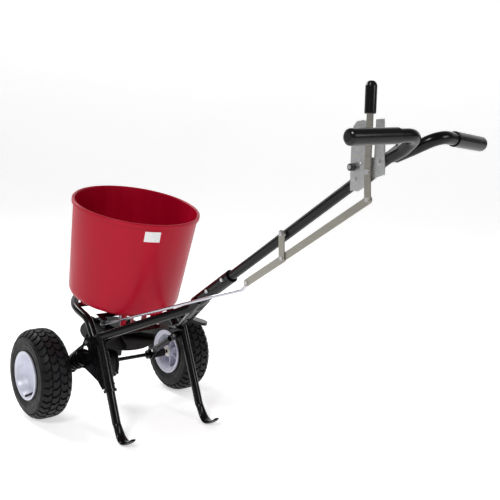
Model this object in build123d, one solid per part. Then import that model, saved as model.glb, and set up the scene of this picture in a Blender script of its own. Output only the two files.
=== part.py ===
from build123d import *
import os
from math import cos, hypot, pi, radians, sin

# Walk-behind spreader in its parked pose: it stands on two wheels and two stand feet.
# +X is forward, +Y is left, +Z is up, millimetres. Everything is built about the ground
# point under the axle; finish() then moves it so that the origin is the footprint's centre.

# ---- wheels: 11 x 4.00-5 turf tyres on moulded rims
tyre_r = 139.7
tyre_half_w = 51.0
wheel_y = 258.6
rim_flange_r = 75.4
rim_half_w = 52.2
bead_r = 63.5
hub_r = 19.0
hub_inner = -46.0
hub_outer = 10.0
hub_bore_r = 9.0
cap_r = 50.0
cap_w = 22.0
rib_count = 6

# ---- axle
axle_r = 6.35
axle_z = tyre_r
axle_end = wheel_y + 17.8
cotter_w = 15.2
fit_gap = 0.05
ring_hub_y = 33.0
drive_pin_y = wheel_y + hub_inner - 7.0
pin_hole_r = 2.05

# ---- hopper and drive column, both on one line that leans back through the axle
lean = 12.5
rim_s = 541.0
rim_r = 198.6
wall_top_r = 193.5
wall_low_r = 176.0
floor_s = 236.0
throat_s = 216.0
wall_t = 3.6
front_posts = (124.0, 55.0)
rear_posts = (138.0, 152.0)
front_post_s = 186.8
rear_post_s = 190.0

# ---- shut-off gate under the hopper's floor
port_x = -48.0
port_spread = 45.0
port_r = 10.5
gate_travel = 22.8
gate_rear = -88.0
gate_front = 56.0
rail_y = 70.0
ear_x = -94.6
ear_y = 120.0
hook_s = 195.6

# ---- frame
tube_r = 12.7
tube_wall = 1.6
side_y = 150.3
leg_top = (-166.0, 300.0)
leg_low = (-291.0, 27.0)
joint_x = -445.0
shell_r = 18.2
socket_bolts = (-519.0, -583.0)
brace_low = (-34.0, 162.6)
brace_high = (-158.0, 246.0)
brace_y = -134.6
bolt_r = 3.0
bolt_hole_r = 3.05
web_bolt = (-122.0, 257.0)

# ---- pole, a straight tube on the centre plane
pole_slope = 34.25
pole_ref = (-601.0, 533.0)
pole_r = 12.7
pole_low_x = -462.0
pole_top_x = -1108.0

# ---- handlebar and grips
handle_r = 13.6
grip_r = 16.3
grip_len = 122.0
bar_corner = (-1200.0, 35.0, 922.0)
bar_end = (-1179.0, 211.0, 911.0)

# ---- control linkage: two equal, parallel arms, so the upper bar keeps its direction
arm = (-5.5, -58.5)
lever_pivot = (-1064.2, 840.7)
link_pivot = (-808.0, 674.5)
lever_low = (lever_pivot[0] + arm[0], lever_pivot[1] + arm[1])
link_low = (link_pivot[0] + arm[0], link_pivot[1] + arm[1])
lever_top = (-1057.5, 1012.0)
bar_foot = (-679.6, 530.3)
gauge_bolts_x = (-1024.0, -1086.0)
bumper_at = (-1018.5, 848.0)
bumper_len = 12.0
rod_r = 4.0
pin_r = 3.0

# ---- layers of the linkage, left of the pole
bar_t = 3.0
gauge_t = 2.5
lever_t = 4.0
lower_y = 12.4
gauge_y = 12.8
upper_y = 15.7
lever_y = 19.0
link_y = 19.0

# ---- impeller drive
ring_teeth = 40
pinion_teeth = 12
module = 2.0
mesh_s = 40.0
gear_r = 44.0
case_r = 47.7
case_wall = 2.2
flange_w = 5.3
neck_half = 16.0
neck_top = 92.0
split_y = 12.5
impeller_s = 100.0
impeller_r = 122.0
shaft_r = 4.75
agitator_s = 238.0

os.makedirs("parts", exist_ok=True)
nodes = {}


# ---------------------------------------------------------------- small tools
def solid_of(shape):
    """One solid, taken out of whatever a boolean returned."""
    found = shape.solids()
    return found[0] if len(found) == 1 else max(found, key=lambda s: s.volume)


def upright(x, y, low, high, radius):
    """A round bar standing along Z."""
    return cyl((x, y, low), (x, y, high), radius)


def block(x, y, z):
    """A box from three (low, high) pairs."""
    size = [pair[1] - pair[0] for pair in (x, y, z)]
    middle = [(pair[0] + pair[1]) / 2 for pair in (x, y, z)]
    return Location(tuple(middle)) * Box(*size)


def cyl(start, end, radius):
    """A round bar between two points."""
    a, b = Vector(*start), Vector(*end)
    plane = Plane(origin=a, z_dir=b - a)
    return plane * Cylinder(radius, (b - a).length, align=(Align.CENTER, Align.CENTER, Align.MIN))


def pipe(start, end, outer, inner):
    """A round tube between two points, open at both ends."""
    a, b = Vector(*start), Vector(*end)
    step = (b - a).normalized() * 1.0
    return cyl(start, end, outer) - cyl(tuple(a - step), tuple(b + step), inner)


def path_of(points, radii):
    """A path of straight runs joined by tangent arcs."""
    return FilletPolyline(*[Vector(*p) for p in points], radius=radii)


def swept(points, radii, outer, inner=0):
    """A round bar or tube along straight runs and arcs."""
    line = path_of(points, radii)
    start = Plane(origin=line @ 0, z_dir=line % 0)
    body = sweep(start * Circle(outer), path=line)
    if inner:
        body -= sweep(start * Circle(inner), path=line)
    return body


def leaned(shape):
    """From the drive column's own frame (origin on the axle, +Z up the hopper) to the machine's."""
    return Location((0, 0, axle_z), (0, -lean, 0)) * shape


def column_point(x, y, s):
    """A point of the drive column's frame, in the machine's frame."""
    a = radians(lean)
    return (x * cos(a) - s * sin(a), y, axle_z + x * sin(a) + s * cos(a))


def along_pole(x):
    """Height of the pole's centre line above the ground at a given x."""
    return pole_ref[1] + (pole_ref[0] - x) * sin(radians(pole_slope)) / cos(radians(pole_slope))


def pole_point(x, across=0.0, y=0.0):
    """A point beside the pole: at x on its centre line, then moved square to it, upwards."""
    a = radians(pole_slope)
    return (x + across * sin(a), y, along_pole(x) + across * cos(a))


def lathe(points):
    """A closed profile in (radius, height) turned about Z."""
    return revolve(Plane.XZ * make_face(Polyline(*points, close=True)), Axis.Z)


def spun_on_axle(shape, y, outward):
    """A turned piece with its axis on Z, set on the axle line with +Z pointing outward."""
    return Location((0, y, axle_z), (-90 * outward, 0, 0)) * shape


def bolt(center, direction, grip_len, radius=bolt_r, head_r=5.6, head_h=3.6, nut=True):
    """Hex bolt: head at center, shank along direction; a nut closes on the far face."""
    c = Vector(*center)
    d = Vector(*direction).normalized()
    tail = head_h + 1.0 if nut else 0.0
    head = Plane(origin=c, z_dir=-d) * extrude(RegularPolygon(head_r, 6), head_h)
    body = head + cyl(tuple(c), tuple(c + d * (grip_len + tail)), radius)
    if nut:
        body += Plane(origin=c + d * grip_len, z_dir=d) * extrude(RegularPolygon(head_r, 6), head_h)
    return solid_of(body)


def flat_bar(start, end, width, thick, y):
    """A flat bar in a plane of constant y, with round ends and a hole at each end's centre."""
    (ax, az), (bx, bz) = start, end
    middle = ((ax + bx) / 2, y, (az + bz) / 2)
    plane = Plane(origin=middle, x_dir=(bx - ax, 0, bz - az), z_dir=(0, 1, 0))
    bar = plane * extrude(SlotCenterToCenter(hypot(bx - ax, bz - az), width), thick)
    for x, z in (start, end):
        bar -= cyl((x, y - 5, z), (x, y + thick + 5, z), pin_r + fit_gap)
    return solid_of(bar)


def add(name, *shapes):
    """Keep the solids of one node."""
    nodes[name] = [solid for shape in shapes for solid in shape.solids()]

# ---------------------------------------------------------------- wheels
def tyre():
    """Tubeless turf tyre: a hollow casing whose two beads sit against the rim flanges."""
    outer = [(tyre_r, 0), (tyre_r - 0.8, 18), (tyre_r - 3.4, 31), (tyre_r - 9, 41), (tyre_r - 19, 48.2),
             (tyre_r - 32, tyre_half_w), (tyre_r - 46, 49.6), (rim_flange_r + 7, 46.6), (rim_flange_r, 45.6)]
    bead = [(bead_r + 4, 45.2), (bead_r + 0.1, 44.0), (bead_r + 0.1, 35.5)]
    inner = [(rim_flange_r - 3, 36), (rim_flange_r + 9, 41.5), (tyre_r - 32, 44.6), (tyre_r - 18, 40),
             (tyre_r - 11, 30), (tyre_r - 8.6, 16), (tyre_r - 8, 0)]
    half = outer + bead + inner
    mirrored = [(r, -w) for r, w in reversed(half[1:-1])]
    return lathe(half + mirrored)


def rim():
    """Moulded rim: drop-centre barrel, hub on a web, and a smooth outer dish that holds the cap."""
    barrel = [(rim_flange_r, rim_half_w - 0.6), (rim_flange_r, 47.6), (rim_flange_r - 2.5, 46.2),
              (bead_r + 3, 45.6), (bead_r, 44.0), (bead_r, 34.0), (59.0, 28.0), (59.0, -28.0), (bead_r,
                      -34.0),
              (bead_r, -44.0), (bead_r + 3, -45.6), (rim_flange_r - 2.5, -46.2), (rim_flange_r, -47.6),
              (rim_flange_r, 0.6 - rim_half_w), (rim_flange_r - 0.8, -rim_half_w), (rim_flange_r - 4,
                      -rim_half_w)]
    inside = [(60.0, -46.0), (59.6, -40.0), (55.0, -26.0), (54.6, -2.0), (hub_r, -4.0), (hub_r, hub_inner),
              (hub_bore_r, hub_inner), (hub_bore_r, hub_outer), (hub_r, hub_outer), (hub_r, 0.5),
              (cap_r - 3.5, 2.5), (cap_r - 3.5, cap_w - 2.6), (cap_r + 0.6, cap_w - 2.6), (cap_r + 0.6,
                      cap_w + 0.6),
              (cap_r + 2.6, cap_w + 3.0), (60.0, 38.0), (66.5, 49.5), (70.5, rim_half_w),
              (rim_flange_r - 0.8, rim_half_w)]
    body = lathe(barrel + inside)
    for i in range(rib_count):
        rib = Location((0, 0, 0), (0, 0, 360 / rib_count * i + 30)) * Location((37.3, 0, -18)) * Box(37.0,
                3.2, 30)
        body += rib
    base, tip = valve_line()
    body -= cyl(base, tip, 4.2)
    return solid_of(body)


def valve_line():
    """Where the valve lies in the wheel's own frame: through the dish wall, tilted outward."""
    a = radians(116)
    return ((54.6 * cos(a), 54.6 * sin(a), 24.0), (61.5 * cos(a), 61.5 * sin(a), 62.0))


def valve_stem():
    """Snap-in rubber valve: a collar behind the dish wall, a tapering body and a cap."""
    base, tip = Vector(*valve_line()[0]), Vector(*valve_line()[1])
    way = (tip - base).normalized()
    plane = Plane(origin=base, z_dir=way)
    profile = [(0, 4.5), (4.1, 4.5), (4.1, 20.0), (3.2, 27.0), (3.2, 28.0), (3.9, 28.0), (3.9, 37.0),
               (3.0, 38.0), (0, 38.0)]
    return plane * lathe(profile)


def hub_cap():
    """Smooth pressed cap that closes the hub's outer end."""
    return lathe([(0, cap_w - 3.6), (30, cap_w - 3.2), (cap_r - 1.5, cap_w - 2.4), (cap_r + 0.4, cap_w - 2.4),
                  (cap_r + 0.4, cap_w + 0.2), (cap_r - 2.0, cap_w + 0.2), (cap_r - 4.0, cap_w - 0.6),
                  (30, cap_w - 1.4), (0, cap_w - 1.8)])


def hub_bush(outward):
    """Flanged nylon bush pressed into one end of the hub bore."""
    end = hub_outer if outward > 0 else hub_inner
    sleeve = [(axle_r + fit_gap, end - outward * 12), (hub_bore_r - 0.02, end - outward * 12),
              (hub_bore_r - 0.02, end), (hub_r - 4, end), (hub_r - 4, end + outward * 1.6),
              (axle_r + fit_gap, end + outward * 1.6)]
    return lathe(sleeve)


def wheel_nodes(name, y, outward):
    """Everything that turns with one wheel."""
    add(f"tyre_{name}", spun_on_axle(tyre(), y, outward))
    add(f"rim_{name}", spun_on_axle(rim(), y, outward))
    add(f"valve_stem_{name}", spun_on_axle(valve_stem(), y, outward))
    add(f"hub_cap_{name}", spun_on_axle(hub_cap(), y, outward))
    add(f"hub_bushes_{name}", spun_on_axle(hub_bush(1), y, outward), spun_on_axle(hub_bush(-1), y, outward))


# ---------------------------------------------------------------- axle line
def axle():
    """Half-inch steel rod through both wheels, cross-drilled for its pins."""
    rod = cyl((0, -axle_end, axle_z), (0, axle_end, axle_z), axle_r)
    for y in (wheel_y + cotter_w, -wheel_y - cotter_w):
        rod -= upright(0, y, axle_z - 12, axle_z + 12, 1.55)
    for y in (ring_hub_y, drive_pin_y):
        rod -= upright(0, y, axle_z - 12, axle_z + 12, pin_hole_r)
    return solid_of(rod)


def washer(y, inner, outer, thick):
    """A flat washer on the axle, centred at y."""
    return pipe((0, y - thick / 2, axle_z), (0, y + thick / 2, axle_z), outer, inner)


def cotter(y):
    """Split pin through the axle: a shank with an eye above and spread legs below."""
    shank = cyl((0, y, axle_z - 9.5), (0, y, axle_z + 8.5), 1.5)
    eye = Location((0, y, axle_z + 10.6), (90, 0, 0)) * Torus(2.6, 1.1)
    return solid_of(shank + eye)


def drive_dog():
    """Collar pinned to the axle; its two lugs reach between the left rim's ribs and push them."""
    face = drive_pin_y + 4.9
    body = pipe((0, drive_pin_y - 6, axle_z), (0, face, axle_z), 13.0, axle_r + 0.02)
    for side in (-1, 1):
        arm_x = sorted((side * 10.0, side * 27.0))
        lug_x = sorted((side * 21.0, side * 27.0))
        body += block(arm_x, (drive_pin_y, face), (axle_z - 5, axle_z + 5))
        body += block(lug_x, (drive_pin_y, face + 18), (axle_z - 5, axle_z + 5))
    body -= upright(0, drive_pin_y, axle_z - 14, axle_z + 14, pin_hole_r)
    return solid_of(body)


def roll_pin(y, half):
    """Spring pin driven through a collar and the axle."""
    return cyl((0, y, axle_z - half), (0, y, axle_z + half), 2.0)


# ---------------------------------------------------------------- gears and shaft
def ring_gear():
    """Face gear pinned to the axle; its teeth point at the centre plane."""
    y_face = module * pinion_teeth / 2 + 3.8
    depth = 3.4
    disc = pipe((0, y_face - 0.2, axle_z), (0, y_face + 5.2, axle_z), gear_r, axle_r + 0.02)
    disc += pipe((0, y_face - 0.2, axle_z), (0, ring_hub_y + 4.6, axle_z), 13.0, axle_r + 0.02)
    disc -= upright(0, ring_hub_y, axle_z - 16, axle_z + 16, pin_hole_r)
    pitch = 2 * pi / ring_teeth
    sections = []
    for y, share in ((y_face, 0.215), (y_face - depth, 0.13)):
        wide = pitch * share
        corners = [(34 * wide, 34), (gear_r * wide, gear_r), (-gear_r * wide, gear_r), (-34 * wide, 34)]
        plane = Plane(origin=(0, y, 0), z_dir=(0, -1, 0), x_dir=(1, 0, 0))
        sections.append((plane * Polygon(*corners, align=None)).face())
    tooth = loft(sections)
    for i in range(ring_teeth):
        disc += Location((0, 0, axle_z), (0, 360 / ring_teeth * i - lean, 0)) * tooth
    return solid_of(disc)


def pinion():
    """Spur pinion at the foot of the impeller shaft."""
    pitch_r = module * pinion_teeth / 2
    body = Location((0, 0, mesh_s)) * Cylinder(pitch_r - 2.0, 11.0)
    half = pitch_r * pi / pinion_teeth * 0.36
    root, tip = pitch_r - 2.6, pitch_r + 1.3
    tooth = Polygon((root, half * 1.25), (root, -half * 1.25), (tip, -half * 0.62), (tip, half * 0.62),
                    align=None)
    tooth = Location((0, 0, mesh_s - 5.5)) * extrude(tooth, 11.0)
    for i in range(pinion_teeth):
        body += Location((0, 0, 0), (0, 0, 360 / pinion_teeth * (i + 0.5))) * tooth
    body += Location((0, 0, mesh_s + 8.0)) * Cylinder(8.5, 5.2)
    body -= Location((0, 0, mesh_s)) * Cylinder(shaft_r + 0.02, 40)
    return leaned(solid_of(body))


def impeller_shaft():
    """Upright steel shaft from the gear case to the agitator inside the hopper."""
    body = upright(0, 0, 28, 246, shaft_r)
    body -= Location((0, 0, agitator_s), (90, 0, 0)) * Cylinder(pin_hole_r, 20)
    body -= Location((0, 0, impeller_s + 9), (90, 0, 0)) * Cylinder(1.65, 20)
    return leaned(solid_of(body))


def agitator():
    """Bent wire pushed through the shaft; it stirs the material over the ports."""
    arm_len = 34.0
    wire = swept([(0, -arm_len, agitator_s + 12), (0, -arm_len + 10, agitator_s),
                  (0, arm_len - 10, agitator_s),
                  (0, arm_len, agitator_s + 12)], 4.0, 2.0)
    return leaned(wire)


def impeller():
    """Spreading disc with a rolled edge, a hub and five upright blades."""
    s = impeller_s
    bore = shaft_r + 0.02
    disc = lathe([(bore, s - 5.6), (12, s - 5.6), (12, s), (impeller_r - 3, s), (impeller_r, s + 1.5),
                  (impeller_r, s + 3.5), (impeller_r - 3, s + 2.6), (12, s + 2.6), (12, s + 14), (bore,
                          s + 14)])
    for i in range(5):
        disc += Location((0, 0, 0), (0, 0, 72 * i + 20)) * Location((65.5, 0, s + 9)) * Box(109.0, 2.4, 15)
    disc -= Location((0, 0, s + 9), (90, 0, 0)) * Cylinder(1.65, 40)
    return leaned(solid_of(disc))


def impeller_pin():
    """Pin that locks the impeller to its shaft."""
    return leaned(Location((0, 0, impeller_s + 9), (90, 0, 0)) * Cylinder(1.6, 27))


# ---------------------------------------------------------------- gear case
def case_outline(grow, low):
    """Side outline of the case in the drive column's frame: a round bowl with a neck above it."""
    height = neck_top - low
    neck = Location((0, low + height / 2)) * Rectangle(2 * (neck_half + grow), height)
    return Circle(case_r + grow) + neck


def case_half(left):
    """One half of the gear case; the halves meet on a plane square to the axle."""
    side = Plane(origin=(0, 0, 0), x_dir=(1, 0, 0), z_dir=(0, -1, 0))
    cavity_r = case_r - case_wall
    if left:
        flange_y, depth = split_y + 3, 42 - split_y
        body = Location((0, 42, 0)) * (side * extrude(Circle(case_r), depth))
        body += Location((0, 17.5, 0)) * (side * extrude(case_outline(0, 0), 17.5 - split_y))
        body += pipe((0, 42, 0), (0, 58, 0), 14.0, 6.0)
        cavity = cyl((0, split_y - 1, 0), (0, 42 - case_wall, 0), cavity_r)
    else:
        flange_y = split_y - 0.05
        body = Location((0, flange_y, 0)) * (side * extrude(Circle(case_r), 4.0))
        body += block((-neck_half, neck_half), (-neck_half, flange_y), (24, neck_top))
        body += pipe((0, 9, 0), (0, -12, 0), 14.0, 6.0)
        cavity = cyl((0, split_y + 1, 0), (0, split_y - 4.05 + case_wall, 0), cavity_r)
    body += Location((0, flange_y, 0)) * (side * extrude(case_outline(flange_w, 0), 3))
    for x, s in case_screw_places():
        body += cyl((x, flange_y, s), (x, flange_y - 3, s), 5.4)
        body -= cyl((x, split_y - 30, s), (x, split_y + 30, s), pin_hole_r)
    body -= cavity
    body -= cyl((0, -80, 0), (0, 80, 0), 9.0)
    body -= upright(0, 0, 27, 80, 13.6)
    body -= upright(0, 0, 26, 120, 8.0)
    return leaned(solid_of(body))


def case_screw_places():
    """Screws round the joint of the two case halves."""
    ring_r = case_r + 4.0
    ring = [(ring_r * cos(radians(a)), ring_r * sin(radians(a))) for a in (200, 245, 295, 340)]
    return ring + [(neck_half + 4.0, 84.0), (-neck_half - 4.0, 84.0)]


def case_screws():
    """Six hex screws that clamp the case halves."""
    return [leaned(bolt((x, split_y + 3.05, s), (0, -1, 0), 6.15, 2.0, 3.6, 2.4)) for x,
            s in case_screw_places()]


def case_bush(y, out):
    """Flanged bush that carries the axle in the case."""
    near = y - out * 14
    body = pipe((0, min(y, near), axle_z), (0, max(y, near), axle_z), 8.98, axle_r + fit_gap)
    low, high = sorted((y, y + out * 1.6))
    return solid_of(body + pipe((0, low, axle_z), (0, high, axle_z), 12.5, axle_r + fit_gap))


def shaft_bush():
    """Flanged bush in the neck of the gear case, for the upright shaft."""
    inner = shaft_r + fit_gap
    flange = neck_top + 0.05
    return leaned(lathe([(inner, 82), (7.98, 82), (7.98, flange), (12, flange), (12, 94), (inner, 94)]))


# ---------------------------------------------------------------- hopper and gate
def post_places():
    """Feet of the hopper's four posts, as (x, y, s) in the drive column's frame."""
    places = []
    for (radius, turn), s in ((front_posts, front_post_s), (rear_posts, rear_post_s)):
        for side in (1, -1):
            places.append((radius * cos(radians(turn)), side * radius * sin(radians(turn)), s))
    return places


def rail_screw_places():
    """Screws of the gate rails, as (x, y) in the drive column's frame."""
    return [(x, side * (rail_y + 5.5)) for side in (-1, 1) for x in (-46, 46)]


def hopper():
    """Rotation-moulded hopper: rolled rim, slightly tapering wall, shallow coned floor, four posts."""
    outer = [(9.0, throat_s), (110, throat_s), (148, floor_s + 1), (161, 241.5), (169.5, 248.5),
             (174.4, 256.5),
             (wall_low_r, 266), (wall_top_r, rim_s - 8), (rim_r - 0.6, rim_s - 7), (rim_r, rim_s - 4),
             (rim_r, rim_s + 4), (rim_r - 2.2, rim_s + 6.6), (wall_top_r, rim_s + 7)]
    inner = [(wall_top_r - wall_t, rim_s + 4), (wall_low_r - wall_t, 267), (171, 258.5), (166.8, 251.3),
             (159.4, 245.2), (147, 241), (109.5, throat_s + wall_t), (9.0, throat_s + wall_t)]
    body = lathe(outer + inner)
    for x, y, s in post_places():
        body += upright(x, y, s, 236 if x < 0 else 226, 8.5)
        body -= upright(x, y, s - 1, s + 20, 2.6)
    for turn in (-163, 163, 180):
        rib = Location((0, 0, 0), (0, 0, turn)) * Location((133, 0, 203))
        body += rib * Box(22, 4, 36, align=(Align.CENTER, Align.CENTER, Align.MIN))
    for side in (-1, 0, 1):
        body -= Location((port_x, side * port_spread, throat_s)) * Cylinder(port_r, 20)
    for x, y in rail_screw_places():
        body -= Location((x, y, throat_s)) * Cylinder(pin_hole_r, 20)
    return leaned(solid_of(body))


def gate():
    """Shut-off plate that slides fore and aft under the floor, with a hanging ear for the rod."""
    s = throat_s - 2.3
    layer = (s, s + 2.0)
    plate = block((gate_rear, gate_front), (0.5 - rail_y, rail_y - 0.5), layer)
    plate += block((gate_rear, gate_rear + 26), (60, ear_y + 8), layer)
    plate += block((ear_x - 12, gate_rear + 26), (ear_y - 8, ear_y + 8), layer)
    plate += block((ear_x - 12, ear_x + 12), (ear_y - 1.2, ear_y + 1.2), (hook_s - 9, s + 2))
    plate -= Location((gate_travel / 2, 0, s)) * extrude(SlotCenterToCenter(gate_travel + 1, 19.0), 10,
                                                         both=True)
    for side in (-1, 0, 1):
        plate -= Location((port_x + gate_travel, side * port_spread, s)) * Cylinder(port_r, 20)
    plate -= Location((ear_x, ear_y, hook_s), (90, 0, 0)) * extrude(SlotCenterToCenter(3.4, 9.4), 10,
            both=True)
    return leaned(solid_of(plate))


def gate_rail(side):
    """Folded strip screwed under the floor; the gate slides on its lip."""
    s = throat_s
    body = block((-55, 55), sorted((side * rail_y, side * (rail_y + 11))), (s - 2, s))
    body += block((-55, 55), sorted((side * rail_y, side * (rail_y + 2))), (s - 6, s))
    body += block((-55, 55), sorted((side * (rail_y - 7), side * (rail_y + 2))), (s - 6, s - 4))
    for x, y in rail_screw_places():
        body -= Location((x, y, s)) * Cylinder(pin_hole_r, 20)
    return leaned(solid_of(body))


def rail_screws():
    """Pan-head screws through the floor into the gate rails."""
    top = throat_s + wall_t
    return [leaned(solid_of(upright(x, y, top, top + 2.2, 4.2) + upright(x, y, top - 9, top + 1, 2.0)))
            for x, y in rail_screw_places()]


def throat_bush():
    """Bush pressed into the floor's middle hole; it steadies the top of the shaft."""
    inner = shaft_r + fit_gap
    top = throat_s + wall_t
    return leaned(lathe([(inner, 204), (8.98, 204), (8.98, top), (14, top), (14, top + 2), (inner, top + 2)]))


# ---------------------------------------------------------------- frame
def side_path(side):
    """Centre line of one side tube: from its front end back to the pole's foot."""
    front = (-118.0, side * side_y, 257.0)
    near = (-172.0, side * (side_y - 2.0), 282.0)
    rear = (joint_x, side * 13.2, along_pole(joint_x) - 11.8)
    return [front, near, rear, (joint_x - 30, side * 13.2, along_pole(joint_x - 30) - 4.0)]


def side_tube_bar(side, outer):
    """The solid bar that one side tube fills."""
    return swept(side_path(side), [60, 40], outer)


def half_shell(side):
    """Half sleeve at the side tube's rear end, formed round the foot of the pole."""
    tube = cyl(pole_point(joint_x - 2), pole_point(-601.0), shell_r)
    return tube & half_space(side)


def half_space(side):
    """Everything on one side of the centre plane, round the foot of the pole."""
    return block((-720, -320), sorted((side * 0.35, side * 40.35)), (270, 670))


def side_tube(side):
    """Bent side tube whose rear end is pressed into a half sleeve for the pole."""
    body = side_tube_bar(side, tube_r) + half_shell(side)
    body -= cyl(pole_point(pole_low_x + 2), pole_point(-640.0), pole_r + 0.05)
    body -= block((-720, -320), sorted((side * 0.35, side * -40.0)), (270, 670))
    for x in socket_bolts:
        body -= cyl(pole_point(x, y=-40), pole_point(x, y=40), bolt_hole_r)
    body -= swept(side_path(side)[:3], [60], tube_r - tube_wall)
    if side > 0:
        body -= cyl((web_bolt[0], 100, web_bolt[1]), (web_bolt[0], 200, web_bolt[1]), bolt_hole_r)
    return solid_of(body)


def leg_line(z):
    """x of the leg's centre line at height z."""
    (x0, z0), (x1, z1) = leg_top, leg_low
    return x0 + (x1 - x0) * (z0 - z) / (z0 - z1)


def leg(side):
    """Stand leg: a tube whose foot is flattened and curled up behind."""
    y = side * side_y
    top = (leg_line(292.0), y, 292.0)
    low = (leg_line(46.0), y, 46.0)
    way = Vector(low[0] - top[0], 0, low[2] - top[2]).normalized()
    stations = [(low, way, tube_r, tube_r), ((-302.0, y, 23.0), Vector(-0.62, 0, -0.79), 14.5, 7.6),
                ((-328.5, y, 5.34), Vector(-1.0, 0, 0.02), 17.0, 5.2),
                ((-352.0, y, 10.2), Vector(-0.86, 0, 0.50), 16.0, 4.2),
                ((-374.0, y, 27.0), Vector(-0.72, 0, 0.69), 10.0, 3.2)]
    sections = []
    for at, direction, half_wide, half_thick in stations:
        plane = Plane(origin=Vector(*at), z_dir=direction, x_dir=(0, 1, 0))
        sections.append((plane * Ellipse(half_wide, half_thick)).face())
    body = cyl(top, low, tube_r) + loft(sections)
    if side < 0:
        body += brace_lug()
    body -= side_tube_bar(side, tube_r + 0.02)
    return solid_of(body)


def brace_lug():
    """Lug on the right leg that takes the upper end of the brace."""
    outline = [(-147, 240), (-146, 252), (-156, 260), (-186, 262), (-200, 232), (-166, 232)]
    lug = plate_on_y(outline, -137.5, 5.0)
    return lug - cyl((brace_high[0], -150, brace_high[1]), (brace_high[0], -130, brace_high[1]), bolt_hole_r)


def cradle():
    """Hoop that carries the hopper: up from the side tubes and round the front of the hopper."""
    s = 199.5
    r = 147.0
    points = [(-116, side_y, 152), (-58, side_y, s), (r, side_y, s), (r, -side_y, s), (-58, -side_y, s),
              (-116, -side_y, 152)]
    body = leaned(swept(points, [60, r - 1, r - 1, 60], tube_r))
    for side in (-1, 1):
        body -= side_tube_bar(side, tube_r + 0.02)
    return solid_of(body)


def hopper_strap(front):
    """Cross strap that the hopper's posts stand on: under the hoop, or dropped to the side tubes."""
    x, y, s = post_places()[0 if front else 2]
    if front:
        outline = [(-136, s), (-136, s - 3), (136, s - 3), (136, s)]
    else:
        top = [(-137.4, s - 18.7), (-84, s), (84, s), (137.4, s - 18.7)]
        outline = top + [(across, low - 3.2) for across, low in reversed(top)]
    face = Plane(origin=(x - 13, 0, 0), x_dir=(0, 1, 0), z_dir=(1, 0, 0)) * Polygon(*outline, align=None)
    bar = extrude(face, 26)
    for side in (-1, 1):
        bar -= upright(x, side * y, s - 8, s + 8, 2.6)
    bar = leaned(bar)
    for side in (-1, 1):
        bar -= side_tube_bar(side, tube_r + 0.05)
    return solid_of(bar)


def plate_on_y(points, y, depth):
    """A flat plate from an outline in (x, z), reaching from y towards the right by depth."""
    plane = Plane(origin=(0, y - depth / 2, 0), x_dir=(1, 0, 0), z_dir=(0, -1, 0))
    return plane * extrude(Polygon(*points, align=None), depth / 2, both=True)


def ring_on(start, end, share, radius, thick):
    """A round collar on the line from start to end, at a share of its length."""
    a, b = Vector(*start), Vector(*end)
    way = (b - a).normalized()
    middle = a + (b - a) * share
    return cyl(tuple(middle - way * (thick / 2)), tuple(middle + way * (thick / 2)), radius)


def left_bracket():
    """Cast bracket on the left: axle hub, flanged cone, web, and a ribbed sleeve on the stand leg."""
    outline = [(6, 126), (-40, 138), (-78, 166), (-117, 172), (-156, 164), (-199, 154), (-226, 136),
               (-240, 146),
               (-205, 215), (-190, 262), (-172, 284), (-146, 278), (-112, 268), (-98, 244), (-67,
                       224), (-17, 190), (14, 160)]
    body = plate_on_y(outline, 168.2, 5.0)
    body -= plate_on_y([(-92, 222), (-100, 236), (-122, 246), (-134, 240), (-130, 222), (-108, 220)],
                       169.0, 8)
    body += cyl((0, 163.2, axle_z), (0, 197, axle_z), 15.0)
    hub_end, web_end = (-8, 180, 146), (-108, 167, 206)
    a, b = Vector(*hub_end), Vector(*web_end)
    ends = [(Plane(origin=p, z_dir=b - a) * Circle(r)).face() for p, r in ((a, 14.0), (b, 27.0))]
    body += loft(ends)
    for share, radius in ((0.5, 23.5), (0.68, 26.5), (0.86, 29.0)):
        body += ring_on(hub_end, web_end, share, radius, 4.0)
    body += cyl((-133, 160, 214), (-133, 173, 214), 12.0)
    body += cyl((leg_line(252), side_y, 252), (leg_line(132), side_y, 132), 16.2)
    for z in (240, 218, 196, 174, 152):
        body += cyl((leg_line(z + 2), side_y, z + 2), (leg_line(z - 2), side_y, z - 2), 18.0)
    body += cyl((leg_line(139), side_y, 139), (leg_line(131), side_y, 131), 19.5)
    body -= cyl((leg_line(292), side_y, 292), (leg_line(100), side_y, 100), tube_r + 0.05)
    body -= side_tube_bar(1, tube_r + 0.1)
    body -= cyl((0, 100, axle_z), (0, 240, axle_z), 9.0)
    body -= cyl((web_bolt[0], 140, web_bolt[1]), (web_bolt[0], 200, web_bolt[1]), bolt_hole_r)
    return solid_of(body)


def right_hub():
    """Bearing hub on the right, with an ear for the brace."""
    x, z = brace_low
    body = cyl((0, -130, axle_z), (0, -197, axle_z), 15.0)
    body += plate_on_y([(10, 126), (-8, 124), (-40, 149), (-46, 165), (-38, 177), (8, 156)], -137.5, 6)
    body -= cyl((0, -100, axle_z), (0, -240, axle_z), 9.0)
    body -= cyl((x, -100, z), (x, -200, z), bolt_hole_r)
    return solid_of(body)


def brace():
    """Strut from the right hub to the stand leg: a tube with flat end tabs for the bolts."""
    (ax, az), (bx, bz) = brace_low, brace_high
    start = (ax + (bx - ax) * 0.22, brace_y, az + (bz - az) * 0.22)
    end = (ax + (bx - ax) * 0.78, brace_y, az + (bz - az) * 0.78)
    return solid_of(flat_bar(brace_low, brace_high, 21.0, 5.2, brace_y - 2.6) + cyl(start, end, 10.0))


def hub_bearing(side):
    """Nylon bush pressed into a frame hub."""
    y_in, y_out = side * 170.0, side * 197.0
    low, high = sorted((y_in, y_out))
    body = pipe((0, low, axle_z), (0, high, axle_z), 8.98, axle_r + fit_gap)
    low, high = sorted((y_out, y_out + side * 2.0))
    return solid_of(body + pipe((0, low, axle_z), (0, high, axle_z), 14.0, axle_r + fit_gap))


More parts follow.
